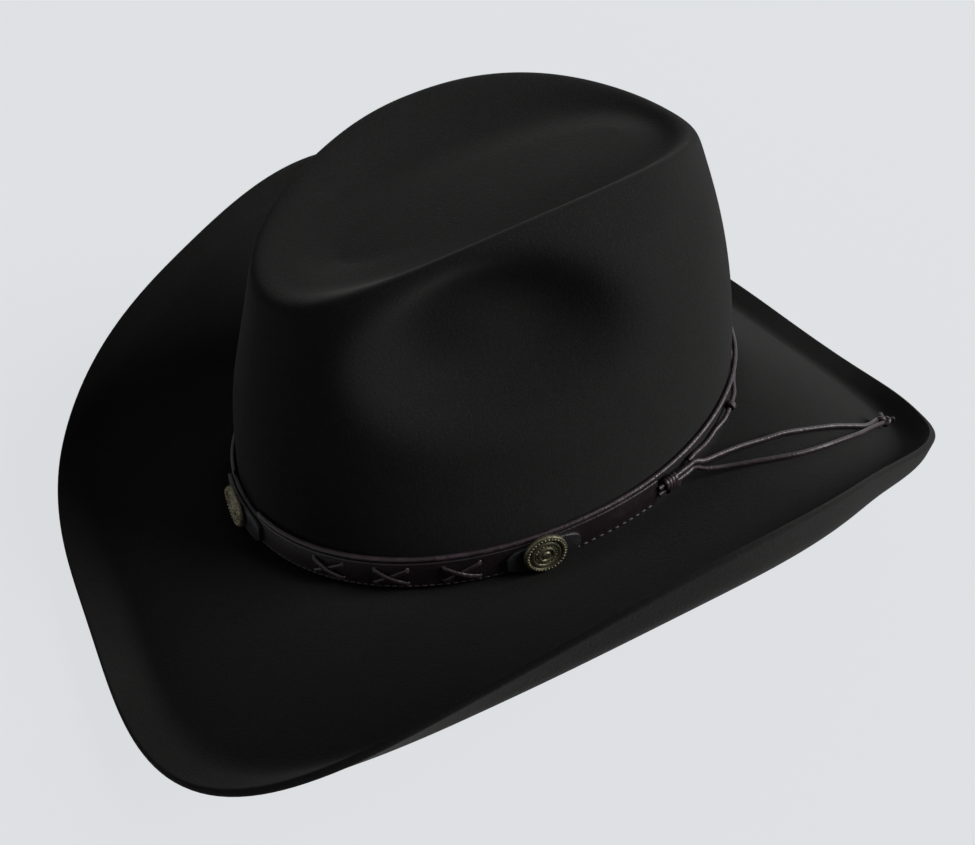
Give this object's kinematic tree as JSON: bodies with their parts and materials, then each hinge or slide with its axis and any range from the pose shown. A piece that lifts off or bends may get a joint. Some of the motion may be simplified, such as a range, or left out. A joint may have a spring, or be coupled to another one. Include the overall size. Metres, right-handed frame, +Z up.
{
  "type": "western felt hat",
  "caption": "Cowboy hat of dark brown felt with a creased crown, rolled brim, leather hat band with crossed laces, three brass conchos and a sliding lace knot.",
  "frame": {"origin": "on the surface that the hat stands on, under the middle of its length and width", "axes": "+Z up through the crown, -Y towards the front of the hat, +X towards the wearer's left"},
  "size_m": [0.304, 0.3662, 0.1603],
  "materials": {
    "felt": "matte brushed wool felt",
    "sweat_leather": "smooth",
    "reed_plastic": "matte",
    "ribbon": "satin ribbon",
    "strap_leather": "semi-gloss",
    "lace_leather": "soft sheen",
    "antique_brass": "antiqued, dark in the recesses",
    "screw_steel": "zinc plated"
  },
  "bodies": {
    "hat": {"felt_body": "felt", "sweatband": "sweat_leather", "sweatband_reed": "reed_plastic", "sweatband_bow": "ribbon"},
    "hat_band": {"band_strap": "strap_leather", "front_pad": "strap_leather", "left_pad": "strap_leather", "right_pad": "strap_leather", "front_concho": "antique_brass", "left_concho": "antique_brass", "right_concho": "antique_brass", "front_screw": "screw_steel", "left_screw": "screw_steel", "right_screw": "screw_steel", "left_lace_a": "lace_leather", "left_lace_b": "lace_leather", "right_lace_a": "lace_leather", "right_lace_b": "lace_leather", "top_lace": "lace_leather", "low_back_lace": "lace_leather", "stop_knot": "lace_leather", "upper_lead": "lace_leather", "lower_lead": "lace_leather", "upper_tail": "lace_leather", "lower_tail": "lace_leather", "end_knot": "lace_leather"},
    "slide_knot": {"slide_knot": "lace_leather"}
  },
  "joints": [
    {"name": "band_lift", "type": "slide", "parent": "hat", "child": "hat_band", "axis": [0, 0, 1], "range_m": [0, 0.13]},
    {"name": "knot_slide", "type": "slide", "parent": "hat_band", "child": "slide_knot", "axis": [-0.1877, 0.9766, 0.1048], "range_m": [0, 0.006]}
  ]
}
